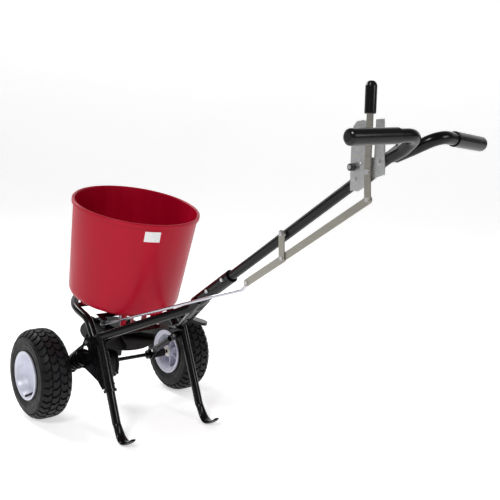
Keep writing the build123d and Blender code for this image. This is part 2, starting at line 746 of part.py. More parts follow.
def frame_bolts():
    """Bolts of the frame: pole socket, left web, brace ends, and the screws up into the posts."""
    bolts = [bolt(pole_point(x, y=shell_r + 0.05), (0, -1, 0), 2 * shell_r + 0.1) for x in socket_bolts]
    bolts.append(bolt((web_bolt[0], 168.25, web_bolt[1]), (0, -1, 0), 33.0))
    for (x, z), grip_len in ((brace_low, 11.6), (brace_high, 10.6)):
        bolts.append(bolt((x, brace_y + 2.65, z), (0, -1, 0), grip_len))
    for x, y, s in post_places():
        low = s - (3.05 if x > 0 else 3.25)
        bolts.append(leaned(bolt((x, y, low), (0, 0, 1), 18.0, 2.5, 5.0, 3.0, nut=False)))
    return bolts


# ---------------------------------------------------------------- pole and handlebar
def pole():
    """Straight steel tube from the frame socket to the handlebar."""
    body = cyl(pole_point(pole_low_x), pole_point(pole_top_x), pole_r)
    body -= cyl(pole_point(pole_low_x + 10), pole_point(pole_top_x - 10), pole_r - tube_wall)
    holes = [(x, along_pole(x)) for x in socket_bolts + gauge_bolts_x] + [link_pivot]
    for x, z in holes:
        body -= cyl((x, -40, z), (x, 40, z), bolt_hole_r)
    return solid_of(body)


def bar_arm(side, outer):
    """One arm of the handlebar, from the stem out to the grip's end."""
    corner = Vector(bar_corner[0], side * bar_corner[1], bar_corner[2])
    end = Vector(bar_end[0], side * bar_end[1], bar_end[2])
    start = pole_point(pole_top_x - 1, -4.0, side * 6.5)
    out = pole_point(pole_top_x - 34, -11.0, side * 12.0)
    tip = end - (end - corner).normalized() * 4.0
    return swept([start, out, tuple(corner), tuple(tip)], [60, 38], outer)


def handlebar():
    """Two bent arms welded to a short stem that plugs into the pole."""
    body = bar_arm(1, handle_r) + bar_arm(-1, handle_r)
    body += cyl(pole_point(pole_top_x - 0.2), pole_point(pole_top_x - 20), pole_r)
    body -= cyl(pole_point(pole_top_x + 60), pole_point(pole_top_x - 0.2), 40)
    body += cyl(pole_point(pole_top_x + 56), pole_point(pole_top_x - 12), pole_r - tube_wall - 0.02)
    body -= cyl(pole_point(gauge_bolts_x[1], y=-40), pole_point(gauge_bolts_x[1], y=40), bolt_hole_r)
    return solid_of(body)


def grip(side):
    """Vinyl grip with a domed end."""
    end = Vector(bar_end[0], side * bar_end[1], bar_end[2])
    corner = Vector(bar_corner[0], side * bar_corner[1], bar_corner[2])
    out = (end - corner).normalized()
    r, total = grip_r, grip_len + 4.0
    bore = handle_r + 0.02
    profile = [(bore, 0), (r - 0.8, 0), (r, 1.0), (r, total - 7), (r - 1.0, total - 3.4),
               (r - 3.4, total - 1.0),
               (r - 7, total), (0, total), (0, total - 6.5), (bore, total - 6.5)]
    return Plane(origin=end - out * grip_len, z_dir=out) * lathe(profile)


# ---------------------------------------------------------------- lever and linkage
def gauge_bracket():
    """Zinc-plated side plate on the pole, with two uprights beside the lever."""
    outline = [(-1013, 797), (-1009, 850), (-1007, 905), (-1010, 936), (-1019, 946), (-1036, 949),
               (-1050, 947),
               (-1050, 872), (-1074, 872), (-1072, 951), (-1093, 953), (-1102, 880), (-1105, 838), (-1086,
                       831),
               (-1060, 812), (-1036, 797)]
    body = plate_on_y(outline, gauge_y + gauge_t, gauge_t)
    holes = [(x, along_pole(x), bolt_hole_r) for x in gauge_bolts_x]
    holes += [(*lever_pivot, bolt_hole_r), (-1036, 858, 2.6), (*bumper_at, 2.55)]
    for x, z, radius in holes:
        body -= cyl((x, 0, z), (x, 40, z), radius)
    return solid_of(body)


def stop_bumper():
    """Rubber bumper on the gauge bracket's front upright."""
    x, z = bumper_at
    return pipe((x, gauge_y + gauge_t, z), (x, gauge_y + gauge_t + bumper_len, z), 8.0, 2.55)


def gauge_bolts():
    """Two bolts through bracket and pole, and the screw that holds the bumper."""
    face = gauge_y + gauge_t
    bolts = [bolt((x, face + 0.05, along_pole(x)), (0, -1, 0), face + 0.1 + pole_r) for x in gauge_bolts_x]
    x, z = bumper_at
    top = face + bumper_len + 0.05
    bolts.append(solid_of(cyl((x, top, z), (x, top + 2.4, z), 5.0) + cyl((x, gauge_y - 0.4, z),
            (x, top + 1, z), 2.5)))
    return bolts


def pivot_bolts():
    """Shouldered stud for the lever, and the long bolt that carries the link on the pole."""
    x, z = lever_pivot
    outer = lever_y + lever_t + 0.05
    stud = cyl((x, gauge_y, z), (x, outer + 1, z), bolt_r)
    stud += cyl((x, gauge_y + gauge_t + 0.05, z), (x, lever_y - 0.1, z), 6.0)
    stud += cyl((x, outer, z), (x, outer + 3.0, z), 6.0)
    x, z = link_pivot
    outer = link_y + bar_t + 0.05
    long_bolt = bolt((x, outer, z), (0, -1, 0), outer + pole_r + 0.05)
    long_bolt += cyl((x, pole_r + 0.1, z), (x, link_y - 0.1, z), 6.0)
    return solid_of(stud), solid_of(long_bolt)


def lever():
    """Flat steel lever on the gauge bracket; its lower arm carries the upper bar."""
    body = flat_bar(lever_low, lever_pivot, 16.0, lever_t, lever_y)
    body += flat_bar(lever_pivot, lever_top, 16.0, lever_t, lever_y)
    x, z = lever_pivot
    body -= cyl((x, 0, z), (x, 40, z), pin_r + fit_gap)
    return solid_of(body)


def lever_grip():
    """Dipped plastic sleeve over the lever's top."""
    middle = lever_y + lever_t / 2
    base = Vector(-1059.6, middle, 962.0)
    top = Vector(lever_top[0], middle, lever_top[1])
    r, total = 12.6, 68.0
    profile = [(0, 0), (r - 1.5, 0), (r, 1.5), (r, total - 10), (r - 1.8, total - 5), (r - 5, total - 1.4),
               (r - 8, total), (0, total)]
    return solid_of(Plane(origin=base, z_dir=top - base) * lathe(profile) - lever())


def pin(point, y_low, y_high, head=5.0):
    """Clinched pivot pin: a domed head outside and a spread end inside."""
    x, z = point
    body = cyl((x, y_low - 1.0, z), (x, y_high + 1.0, z), pin_r)
    body += cyl((x, y_high + 0.05, z), (x, y_high + 2.4, z), head)
    body += cyl((x, y_low - 1.6, z), (x, y_low - 0.05, z), head - 0.8)
    return solid_of(body)


def upper_bar():
    """Flat bar from the lever's lower arm to the pivot link."""
    return flat_bar(lever_low, link_low, 18.0, bar_t, upper_y)


def pivot_link():
    """Short link that hangs from the pole and steadies the bars."""
    return flat_bar(link_pivot, link_low, 19.0, bar_t, link_y)


def lower_bar():
    """Flat bar from the pivot link to the control rod."""
    return flat_bar(link_low, bar_foot, 19.0, bar_t, lower_y)


def rod_route():
    """The control rod's centre line: eye, bend round the pole's socket, long run, hook."""
    y = lower_y - rod_r
    x, z = bar_foot
    hook = column_point(ear_x, ear_y - 11.0, hook_s)
    return [(x + 4, y, z - 4.6), (x + 20, y, z - 23), (-588.0, 45.0, 479.6), hook,
            (hook[0], ear_y + 7.0, hook[2])]


def control_rod():
    """Plated rod: a flattened eye bolted to the lower bar, and a hook through the gate's ear."""
    x, z = bar_foot
    body = swept(rod_route(), [18, 60, 7], rod_r)
    body -= block((x - 60, x + 16), (lower_y - 0.05, 60), (z - 60, z + 60))
    body += cyl((x, lower_y - 3.6, z), (x, lower_y - 0.05, z), 9.0)
    body -= cyl((x, 0, z), (x, 40, z), pin_r + fit_gap)
    return solid_of(body)


# ---------------------------------------------------------------- small frame pieces
def foot_plate():
    """Rounded pedal plate on the right side tube, for tipping the machine."""
    plane = Plane(origin=(-322, -97, 332), x_dir=(-0.62, -0.73, -0.25), z_dir=(-0.17, -0.19, 0.967))
    body = plane * extrude(SlotOverall(66, 42), 9.0)
    return solid_of(body - side_tube_bar(-1, tube_r + 0.02))


def label():
    """Plain rectangular sticker on the hopper's wall."""
    low, high = 493.0, 525.0
    taper = (wall_top_r - wall_low_r) / (rim_s - 8 - 266)
    low_r, high_r = (wall_low_r + taper * (s - 266) + 0.02 for s in (low, high))
    skin = lathe([(low_r, low), (high_r, high), (high_r + 0.35, high), (low_r + 0.35, low)])
    window = Location((0, 0, 0), (0, 0, 164.7)) * Location((190, 0, 509)) * Box(60, 48, 60)
    return leaned(solid_of(skin & window))


# ---------------------------------------------------------------- all nodes
def build():
    wheel_nodes("left", wheel_y, 1)
    wheel_nodes("right", -wheel_y, -1)
    add("axle", axle())
    add("axle_washers", washer(wheel_y + hub_outer + 2.6, axle_r + fit_gap, 11, 1.6),
        washer(-wheel_y - hub_outer - 2.6, axle_r + fit_gap, 11, 1.6))
    add("cotter_pins", cotter(wheel_y + cotter_w), cotter(-wheel_y - cotter_w))
    add("drive_collar", drive_dog())
    add("drive_pins", roll_pin(drive_pin_y, 13.0), roll_pin(ring_hub_y, 13.0))
    add("ring_gear", ring_gear())
    add("pinion_gear", pinion())
    add("impeller_shaft", impeller_shaft())
    add("agitator", agitator())
    add("impeller", impeller())
    add("impeller_pin", impeller_pin())
    add("gear_case_left", case_half(True))
    add("gear_case_right", case_half(False))
    add("case_screws", *case_screws())
    add("case_axle_bushes", case_bush(58, 1), case_bush(-12, -1))
    add("shaft_bushes", shaft_bush(), throat_bush())
    add("hopper", hopper())
    add("gate", gate())
    add("gate_rails", gate_rail(1), gate_rail(-1))
    add("rail_screws", *rail_screws())
    add("hopper_straps", hopper_strap(True), hopper_strap(False))
    add("cradle", cradle())
    for side, name in ((1, "left"), (-1, "right")):
        add(f"side_tube_{name}", side_tube(side))
        add(f"stand_leg_{name}", leg(side))
        add(f"grip_{name}", grip(side))
    add("axle_bracket_left", left_bracket())
    add("axle_hub_right", right_hub())
    add("frame_bushes", hub_bearing(1), hub_bearing(-1))
    add("brace", brace())
    add("foot_plate", foot_plate())
    add("frame_bolts", *frame_bolts())
    add("pole", pole())
    add("handlebar", handlebar())
    add("gauge_bracket", gauge_bracket())
    add("stop_bumper", stop_bumper())
    add("gauge_bolts", *gauge_bolts())
    add("pivot_bolts", *pivot_bolts())
    add("lever", lever())
    add("lever_grip", lever_grip())
    add("upper_bar", upper_bar())
    add("pivot_link", pivot_link())
    add("lower_bar", lower_bar())
    add("bar_pins", pin(lever_low, upper_y, lever_y + lever_t), pin(link_low, lower_y, link_y + bar_t))
    add("control_rod", control_rod())
    add("rod_pin", pin(bar_foot, lower_y - 3.6, lower_y + bar_t))
    add("label", label())


def finish():
    """Move the origin to the centre of the footprint and write every node."""
    low = Vector(1e9, 1e9, 1e9)
    high = Vector(-1e9, -1e9, -1e9)
    for solids in nodes.values():
        for solid in solids:
            box = solid.bounding_box()
            low = Vector(min(low.X, box.min.X), min(low.Y, box.min.Y), min(low.Z, box.min.Z))
            high = Vector(max(high.X, box.max.X), max(high.Y, box.max.Y), max(high.Z, box.max.Z))
    shift = Vector(-(low.X + high.X) / 2, -(low.Y + high.Y) / 2, -low.Z)
    for name, solids in nodes.items():
        moved = [Location(shift) * solid for solid in solids]
        export_step(moved[0] if len(moved) == 1 else Compound(children=moved), f"parts/{name}.step")
    print("shift", shift, "size", high - low)


build()
finish()
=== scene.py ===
import math
import bmesh
import bpy
from mathutils import Matrix, Vector


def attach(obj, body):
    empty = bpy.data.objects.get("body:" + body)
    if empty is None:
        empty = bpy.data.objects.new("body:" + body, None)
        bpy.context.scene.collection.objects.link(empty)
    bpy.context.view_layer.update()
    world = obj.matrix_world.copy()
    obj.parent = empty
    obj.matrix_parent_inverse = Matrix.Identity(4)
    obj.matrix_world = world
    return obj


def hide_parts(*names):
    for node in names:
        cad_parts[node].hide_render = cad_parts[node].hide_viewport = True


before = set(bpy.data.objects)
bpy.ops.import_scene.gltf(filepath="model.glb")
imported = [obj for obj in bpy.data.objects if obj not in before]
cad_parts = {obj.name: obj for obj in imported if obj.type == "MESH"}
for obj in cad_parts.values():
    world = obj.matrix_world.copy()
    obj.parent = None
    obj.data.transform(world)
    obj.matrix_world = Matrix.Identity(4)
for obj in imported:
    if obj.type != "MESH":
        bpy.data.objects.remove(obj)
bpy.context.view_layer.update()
MM = 0.001

# The two rims and their snap-on hub caps.
# Steel sprayed with silver lacquer: pale, with a faint metallic sheen, fine flake and a little road dust.


def linear(code):
    """Linear RGBA of an sRGB hex colour."""
    parts = [int(code[i:i + 2], 16) / 255 for i in (1, 3, 5)]
    return [p / 12.92 if p <= 0.04045 else ((p + 0.055) / 1.055) ** 2.4 for p in parts] + [1.0]


def add(material, kind, inputs=None, **settings):
    """Adds one node with its settings; an input is either a value or another node's output."""
    made = material.node_tree.nodes.new(kind)
    for name, value in settings.items():
        setattr(made, name, value)
    for socket, value in (inputs or {}).items():
        if isinstance(value, bpy.types.NodeSocket):
            material.node_tree.links.new(value, made.inputs[socket])
        else:
            made.inputs[socket].default_value = value
    return made


def begin(name, **uniform):
    """A new material with these uniform shader values, and its place on the object in metres."""
    material = bpy.data.materials.new(name)
    material.use_nodes = True
    shader = material.node_tree.nodes["Principled BSDF"]
    for socket, value in uniform.items():
        shader.inputs[socket.replace("_", " ")].default_value = value
    return material, add(material, "ShaderNodeTexCoord").outputs["Object"]


def close(material, colour, roughness, normal):
    """Feeds the shader its colour, roughness and surface relief."""
    shader = material.node_tree.nodes["Principled BSDF"]
    for socket, made, output in (("Base Color", colour, "Color"), ("Roughness", roughness, "Result"),
                                 ("Normal", normal, "Normal")):
        material.node_tree.links.new(made.outputs[output], shader.inputs[socket])
    return material


def dress(material, *names):
    """Gives CAD pieces a finish in place of their plain one."""
    for name in names:
        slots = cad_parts[name].data.materials
        slots.clear()
        slots.append(material)


FLAKE = 1.4 * MM
DUST_PATCH = 26 * MM
silver_lacquer, place = begin("silver lacquer on pressed steel", Metallic=0.12)
flake = add(silver_lacquer, "ShaderNodeTexNoise", {"Vector": place, "Scale": 1 / FLAKE, "Detail": 2.0})
dust = add(silver_lacquer, "ShaderNodeTexNoise", {"Vector": place, "Scale": 1 / DUST_PATCH, "Detail": 5.0})
flaked = add(silver_lacquer, "ShaderNodeMixRGB", {"Fac": flake.outputs["Fac"], "Color1": linear("#CFD0E0"),
                                                  "Color2": linear("#DEDFEC")})
dusted_amount = add(silver_lacquer, "ShaderNodeMapRange", {"Value": dust.outputs["Fac"], "From Min": 0.5,
                                                           "From Max": 0.8, "To Min": 0.0, "To Max": 0.35})
dusted = add(silver_lacquer, "ShaderNodeMixRGB", {"Fac": dusted_amount.outputs["Result"],
                                                  "Color1": flaked.outputs["Color"],
                                                  "Color2": linear("#9C9AA2")})
close(silver_lacquer, dusted,
      add(silver_lacquer, "ShaderNodeMapRange", {"Value": dust.outputs["Fac"], "From Min": 0.3,
                                                 "From Max": 0.7, "To Min": 0.30, "To Max": 0.46}),
      add(silver_lacquer, "ShaderNodeBump", {"Height": flake.outputs["Fac"], "Strength": 0.10,
                                             "Distance": 0.12 * MM}))
dress(silver_lacquer, "rim_left", "rim_right", "hub_cap_left", "hub_cap_right")

# The two pneumatic turf tyres, moulded in black rubber around a hollow casing.
# Low chevron blocks run round the crown in four staggered rows; the walls carry two thin moulded rings.
# Rubber is matt and a little greyer in random patches where dust settles. Towards the outermost radius, the
# tops of the middle blocks, it turns greyer still, partly from scuffing on the ground and partly as a painted
# highlight, so the grooves and shoulders stay dark as painted shade.
TYRE_R = 139.7
TYRE_HALF_W = 51.0
CROWN_DROP = 27.0
CROWN_POWER = 4.1
GROOVE = 6.0
SHOULDER = (44.0, 50.0)
WHEEL_Y = 258.6
AXLE_X, AXLE_Z = 535.329, 139.705
WALL = [(107.7, 50.9), (101.5, 50.6), (100.6, 51.0), (99.2, 50.9), (98.4, 50.0), (93.7, 49.4), (88.2, 48.0),
        (87.4, 48.5), (86.2, 48.2), (85.6, 47.2), (81.0, 46.1), (77.0, 45.7), (75.4, 45.6), (72.4, 44.0)]
LINING = [(72.4, 36.0), (84.4, 41.5), (107.7, 44.6), (121.0, 40.0), (127.6, 30.0), (130.6, 16.0),
          (131.4, 0.0)]
CROWN_EDGE = 50.4
CROWN_STEPS = 40
TREAD_ROWS = [(-36.0, 0.5), (-12.0, 0.0), (12.0, 0.5), (36.0, 0.0)]
BLOCKS_ROUND = 34
BLOCK_HALF_W = 10.2
BLOCK_HALF_L = 8.8
BLOCK_DRAFT = 1.1
CHEVRON = 0.35
NOTCH = 5.6
ROOT_SINK = 0.8
TURNS = 168


def crown(across, depth):
    """Radius and place across the tyre of a point this far under the tread's outer curve."""
    part = abs(across) / TYRE_HALF_W
    slope = -CROWN_DROP * CROWN_POWER / TYRE_HALF_W * part ** (CROWN_POWER - 1) * (1 if across > 0 else -1)
    size = math.hypot(1, slope)
    radius = TYRE_R - CROWN_DROP * part ** CROWN_POWER
    return radius - depth / size, across + depth * slope / size


def on_wheel(radius, across, turn, wheel_y):
    """The point at this radius, place across the tyre and angle, for the wheel at wheel_y."""
    return Vector(((AXLE_X + radius * math.cos(turn)) * MM, (wheel_y + across) * MM,
                   (AXLE_Z + radius * math.sin(turn)) * MM))


def groove_depth(across):
    """Full groove depth under the tread, fading out over the shoulder."""
    fade = min(1, max(0, (abs(across) - SHOULDER[0]) / (SHOULDER[1] - SHOULDER[0])))
    return GROOVE * (1 - fade * fade * (3 - 2 * fade))


def casing(mesh, wheel_y):
    """The closed casing: crown, outer wall, lining and inner wall, turned about the axle."""
    steps = [-CROWN_EDGE + 2 * CROWN_EDGE * i / CROWN_STEPS for i in range(CROWN_STEPS + 1)]
    loop = [crown(v, groove_depth(v)) for v in steps] + WALL + LINING
    loop += [(r, -v) for r, v in reversed(LINING[:-1])] + [(r, -v) for r, v in reversed(WALL)]
    rings = [[mesh.verts.new(on_wheel(r, v, math.tau * i / TURNS, wheel_y)) for r, v in loop]
             for i in range(TURNS)]
    for i, ring in enumerate(rings):
        following = rings[(i + 1) % TURNS]
        for j in range(len(loop)):
            k = (j + 1) % len(loop)
            mesh.faces.new((ring[j], ring[k], following[k], following[j]))


def block(mesh, wheel_y, middle, start):
    """One tread block with drafted sides, its ends slanting back from the centre line."""
    grids = []
    for depth, grow in ((0.0, 0.0), (GROOVE + ROOT_SINK, BLOCK_DRAFT)):
        grid = []
        for a in (-1, 0, 1):
            across = middle + a * (BLOCK_HALF_W + grow)
            radius, v = crown(across, depth)
            lag = CHEVRON * abs(across) + NOTCH * (1 - abs(a))
            row = []
            for b in (-1, 0, 1):
                turn = start + (lag + b * (BLOCK_HALF_L + grow)) / TYRE_R
                row.append(mesh.verts.new(on_wheel(radius, v, turn, wheel_y)))
            grid.append(row)
        grids.append(grid)
    top, root = grids
    for i in range(2):
        for j in range(2):
            for grid in grids:
                mesh.faces.new((grid[i][j], grid[i + 1][j], grid[i + 1][j + 1], grid[i][j + 1]))
    edge = [(0, 0), (1, 0), (2, 0), (2, 1), (2, 2), (1, 2), (0, 2), (0, 1)]
    for (i, j), (k, m) in zip(edge, edge[1:] + edge[:1]):
        mesh.faces.new((top[i][j], top[k][m], root[k][m], root[i][j]))


def as_piece(name, mesh, material, sharp=40):
    """Turns finished mesh code into a shaded object."""
    bmesh.ops.recalc_face_normals(mesh, faces=mesh.faces)
    data = bpy.data.meshes.new(name)
    mesh.to_mesh(data)
    mesh.free()
    for face in data.polygons:
        face.use_smooth = True
    data.set_sharp_from_angle(angle=math.radians(sharp))
    data.materials.append(material)
    piece = bpy.data.objects.new(name, data)
    bpy.context.scene.collection.objects.link(piece)
    return piece


RUBBER_GRAIN = 1.6 * MM
SCUFF_PATCH = 18 * MM
# Radii in metres over which the block tops turn greyer: part scuff wear, part painted highlight, with painted
# shade left below in the grooves.
SCUFF_AND_HIGHLIGHT_FROM, SCUFF_AND_HIGHLIGHT_TO = 0.1336, 0.1394
tyre_rubber, place = begin("black turf tyre rubber", IOR=1.52, Specular_IOR_Level=0.22)
arm = add(tyre_rubber, "ShaderNodeVectorMath",
          {0: place, 1: (AXLE_X * MM, 0.0, AXLE_Z * MM)}, operation="SUBTRACT")
flat_arm = add(tyre_rubber, "ShaderNodeVectorMath", {0: arm.outputs["Vector"], 1: (1.0, 0.0, 1.0)},
               operation="MULTIPLY")
reach = add(tyre_rubber, "ShaderNodeVectorMath", {0: flat_arm.outputs["Vector"]}, operation="LENGTH")
grain = add(tyre_rubber, "ShaderNodeTexNoise", {"Vector": place, "Scale": 1 / RUBBER_GRAIN, "Detail": 3.0})
patch = add(tyre_rubber, "ShaderNodeTexNoise", {"Vector": place, "Scale": 1 / SCUFF_PATCH, "Detail": 5.0})
body_colour = add(tyre_rubber, "ShaderNodeMixRGB", {"Fac": patch.outputs["Fac"], "Color1": linear("#060607"),
                                                    "Color2": linear("#0E0E10")})
# Painted highlight and scuff wear together: grey rises towards the block tops, and the grooves keep the dark
# body colour as painted shade.
scuff_and_highlight = add(tyre_rubber, "ShaderNodeMapRange", {"Value": reach.outputs["Value"], "From Min": SCUFF_AND_HIGHLIGHT_FROM,
                                               "From Max": SCUFF_AND_HIGHLIGHT_TO, "To Min": 0.0, "To Max": 0.55})
scuff_and_highlight_colour = add(tyre_rubber, "ShaderNodeMixRGB", {"Fac": scuff_and_highlight.outputs["Result"],
                                                    "Color1": body_colour.outputs["Color"],
                                                    "Color2": linear("#222226")})
close(tyre_rubber, scuff_and_highlight_colour,
      add(tyre_rubber, "ShaderNodeMapRange", {"Value": patch.outputs["Fac"], "From Min": 0.3, "From Max": 0.7,
                                              "To Min": 0.42, "To Max": 0.60}),
      add(tyre_rubber, "ShaderNodeBump", {"Height": grain.outputs["Fac"], "Strength": 0.35,
                                          "Distance": 0.15 * MM}))
for side, wheel_y, body in (("left", WHEEL_Y, "drive_axle"), ("right", -WHEEL_Y, "free_wheel")):
    mesh = bmesh.new()
    casing(mesh, wheel_y)
    for middle, stagger in TREAD_ROWS:
        for i in range(BLOCKS_ROUND):
            block(mesh, wheel_y, middle, math.tau * (i + stagger) / BLOCKS_ROUND)
    tyre = as_piece(f"turf_tyre_{side}", mesh, tyre_rubber)
    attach(tyre, body)
    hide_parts(f"tyre_{side}")

# Valve stems and the round bumper on the gauge bracket.
# Small moulded rubber parts, smooth and nearly matt, pushed into their holes.
SMALL_GRAIN = 0.9 * MM
soft_rubber, place = begin("moulded black rubber", IOR=1.52)
grain = add(soft_rubber, "ShaderNodeTexNoise", {"Vector": place, "Scale": 1 / SMALL_GRAIN, "Detail": 2.0})
close(soft_rubber,
      add(soft_rubber, "ShaderNodeMixRGB", {"Fac": grain.outputs["Fac"], "Color1": linear("#18181A"),
                                            "Color2": linear("#232326")}),
      add(soft_rubber, "ShaderNodeMapRange", {"Value": grain.outputs["Fac"], "From Min": 0.3, "From Max": 0.7,
                                              "To Min": 0.50, "To Max": 0.62}),
      add(soft_rubber, "ShaderNodeBump", {"Height": grain.outputs["Fac"], "Strength": 0.2,
                                          "Distance": 0.08 * MM}))
dress(soft_rubber, "valve_stem_left", "valve_stem_right", "stop_bumper")

# The impeller shaft, agitator and control rod.
# Bright drawn steel rod: fine lines along the pull, and a cool, fairly sharp reflection.
DRAW_LINE = 0.5 * MM
DRAW_LENGTH = 30 * MM
bright_rod, place = begin("bright drawn steel rod", Metallic=1.0)
line_space = add(bright_rod, "ShaderNodeMapping", {"Vector": place, "Scale": (
    1 / DRAW_LINE, 1 / DRAW_LENGTH, 1 / DRAW_LINE)})
lines = add(bright_rod, "ShaderNodeTexNoise", {"Vector": line_space.outputs["Vector"], "Scale": 1.0,
                                               "Detail": 3.0})
haze = add(bright_rod, "ShaderNodeTexNoise", {"Vector": place, "Scale": 1 / DRAW_LENGTH, "Detail": 4.0})
close(bright_rod,
      add(bright_rod, "ShaderNodeMixRGB", {"Fac": haze.outputs["Fac"], "Color1": linear("#B4B4BC"),
                                           "Color2": linear("#D4D4DC")}),
      add(bright_rod, "ShaderNodeMapRange", {"Value": haze.outputs["Fac"], "From Min": 0.3, "From Max": 0.7,
                                             "To Min": 0.22, "To Max": 0.36}),
      add(bright_rod, "ShaderNodeBump", {"Height": lines.outputs["Fac"], "Strength": 0.12,
                                         "Distance": 0.05 * MM}))
dress(bright_rod, "impeller_shaft", "agitator", "control_rod")

# The ring gear and pinion inside the gear case.
# Cut steel with a film of grease, so the colour is darker and the shine uneven.
GREASE_PATCH = 7 * MM
greased_steel, place = begin("greased gear steel", Metallic=1.0)
smear = add(greased_steel, "ShaderNodeTexNoise", {"Vector": place, "Scale": 1 / GREASE_PATCH, "Detail": 4.0})
close(greased_steel,
      add(greased_steel, "ShaderNodeMixRGB", {"Fac": smear.outputs["Fac"], "Color1": linear("#6A665E"),
                                              "Color2": linear("#8E8E92")}),
      add(greased_steel, "ShaderNodeMapRange", {"Value": smear.outputs["Fac"], "From Min": 0.3,
                                                "From Max": 0.7, "To Min": 0.25, "To Max": 0.55}),
      add(greased_steel, "ShaderNodeBump", {"Height": smear.outputs["Fac"], "Strength": 0.15,
                                            "Distance": 0.2 * MM}))
dress(greased_steel, "ring_gear", "pinion_gear")

# Bushes in the hubs, frame, gear case and under the hopper.
# Natural nylon turned from rod: creamy white, waxy, with faint turning marks.
NYLON_MARK = 0.8 * MM
natural_nylon, place = begin("natural nylon", IOR=1.53)
marks = add(natural_nylon, "ShaderNodeTexNoise", {"Vector": place, "Scale": 1 / NYLON_MARK, "Detail": 2.0})
close(natural_nylon,
      add(natural_nylon, "ShaderNodeMixRGB", {"Fac": marks.outputs["Fac"], "Color1": linear("#DAD6C8"),
                                              "Color2": linear("#E8E5DA")}),
      add(natural_nylon, "ShaderNodeMapRange", {"Value": marks.outputs["Fac"], "From Min": 0.3,
                                                "From Max": 0.7, "To Min": 0.38, "To Max": 0.50}),
      add(natural_nylon, "ShaderNodeBump", {"Height": marks.outputs["Fac"], "Strength": 0.15,
                                            "Distance": 0.05 * MM}))
dress(natural_nylon, "hub_bushes_left", "hub_bushes_right", "frame_bushes", "case_axle_bushes",
      "shaft_bushes")

# The tubular frame, legs, cradle, straps, axle and its plates, gate, pole and crossbar handle.
# Steel tube and plate, welded, then powder coated gloss black: deep black with a faint orange peel
# and a thin film of dust that breaks up the reflections.
PEEL = 2.4 * MM
FILM_PATCH = 45 * MM
black_powder, place = begin("gloss black powder coat", IOR=1.5, Specular_IOR_Level=0.28)
peel = add(black_powder, "ShaderNodeTexNoise", {"Vector": place, "Scale": 1 / PEEL, "Detail": 1.0})
film = add(black_powder, "ShaderNodeTexNoise", {"Vector": place, "Scale": 1 / FILM_PATCH, "Detail": 6.0})
close(black_powder,
      add(black_powder, "ShaderNodeMixRGB", {"Fac": film.outputs["Fac"], "Color1": linear("#030304"),
                                             "Color2": linear("#09090B")}),
      add(black_powder, "ShaderNodeMapRange", {"Value": film.outputs["Fac"], "From Min": 0.3, "From Max": 0.7,
                                               "To Min": 0.17, "To Max": 0.30}),
      add(black_powder, "ShaderNodeBump", {"Height": peel.outputs["Fac"], "Strength": 0.14,
                                           "Distance": 0.12 * MM}))
dress(black_powder, "axle", "gate", "gate_rails", "axle_bracket_left", "axle_hub_right", "brace", "cradle",
      "foot_plate", "handlebar", "hopper_straps", "pole", "side_tube_left", "side_tube_right",
      "stand_leg_left", "stand_leg_right")

# Bolts, screws, pins, washers, the drive collar and the gauge bracket.
# Zinc-plated steel: pale blue-grey, with a soft crystal mottle and a satin shine.
SPANGLE = 3.5 * MM
zinc_plate, place = begin("bright zinc plate", Metallic=1.0)
spangle = add(zinc_plate, "ShaderNodeTexVoronoi", {"Vector": place, "Scale": 1 / SPANGLE})
mottle = add(zinc_plate, "ShaderNodeTexNoise", {"Vector": place, "Scale": 1 / SPANGLE, "Detail": 5.0})
spangled = add(zinc_plate, "ShaderNodeMixRGB", {"Fac": mottle.outputs["Fac"], "Color1": linear("#BCBCBA"),
                                                "Color2": linear("#DADADC")})
close(zinc_plate,
      add(zinc_plate, "ShaderNodeMixRGB", {"Fac": 0.12, "Color1": spangled.outputs["Color"],
                                           "Color2": spangle.outputs["Color"]}, blend_type="SOFT_LIGHT"),
      add(zinc_plate, "ShaderNodeMapRange", {"Value": mottle.outputs["Fac"], "From Min": 0.3, "From Max": 0.7,
                                             "To Min": 0.30, "To Max": 0.46}),
      add(zinc_plate, "ShaderNodeBump", {"Height": mottle.outputs["Fac"], "Strength": 0.08,
                                         "Distance": 0.08 * MM}))
dress(zinc_plate, "axle_washers", "bar_pins", "case_screws", "cotter_pins", "drive_collar", "drive_pins",
      "frame_bolts", "gauge_bolts", "gauge_bracket", "impeller_pin", "pivot_bolts",
      "rail_screws", "rod_pin")

# The gate lever, its link and the two connecting bars.
# Hot-rolled flat bar, tumbled and clear passivated: warm grey with lines along the rolling.
ROLL_LINE = 0.9 * MM
ROLL_LENGTH = 60 * MM
BAR_SLOPE = math.radians(31)
rolled_bar, place = begin("passivated rolled flat bar", Metallic=1.0)
roll_space = add(rolled_bar, "ShaderNodeMapping", {"Vector": place, "Rotation": (0.0, BAR_SLOPE, 0.0),
                                                   "Scale": (1 / ROLL_LENGTH, 1 / ROLL_LINE, 1 / ROLL_LINE)})
rolling = add(rolled_bar, "ShaderNodeTexNoise", {"Vector": roll_space.outputs["Vector"], "Scale": 1.0,
                                                 "Detail": 3.0})
close(rolled_bar,
      add(rolled_bar, "ShaderNodeMixRGB", {"Fac": rolling.outputs["Fac"], "Color1": linear("#8C8A82"),
                                           "Color2": linear("#BAB7AD")}),
      add(rolled_bar, "ShaderNodeMapRange", {"Value": rolling.outputs["Fac"], "From Min": 0.3,
                                             "From Max": 0.7, "To Min": 0.32, "To Max": 0.48}),
      add(rolled_bar, "ShaderNodeBump", {"Height": rolling.outputs["Fac"], "Strength": 0.12,
                                         "Distance": 0.08 * MM}))
dress(rolled_bar, "lever", "lower_bar", "pivot_link", "upper_bar")

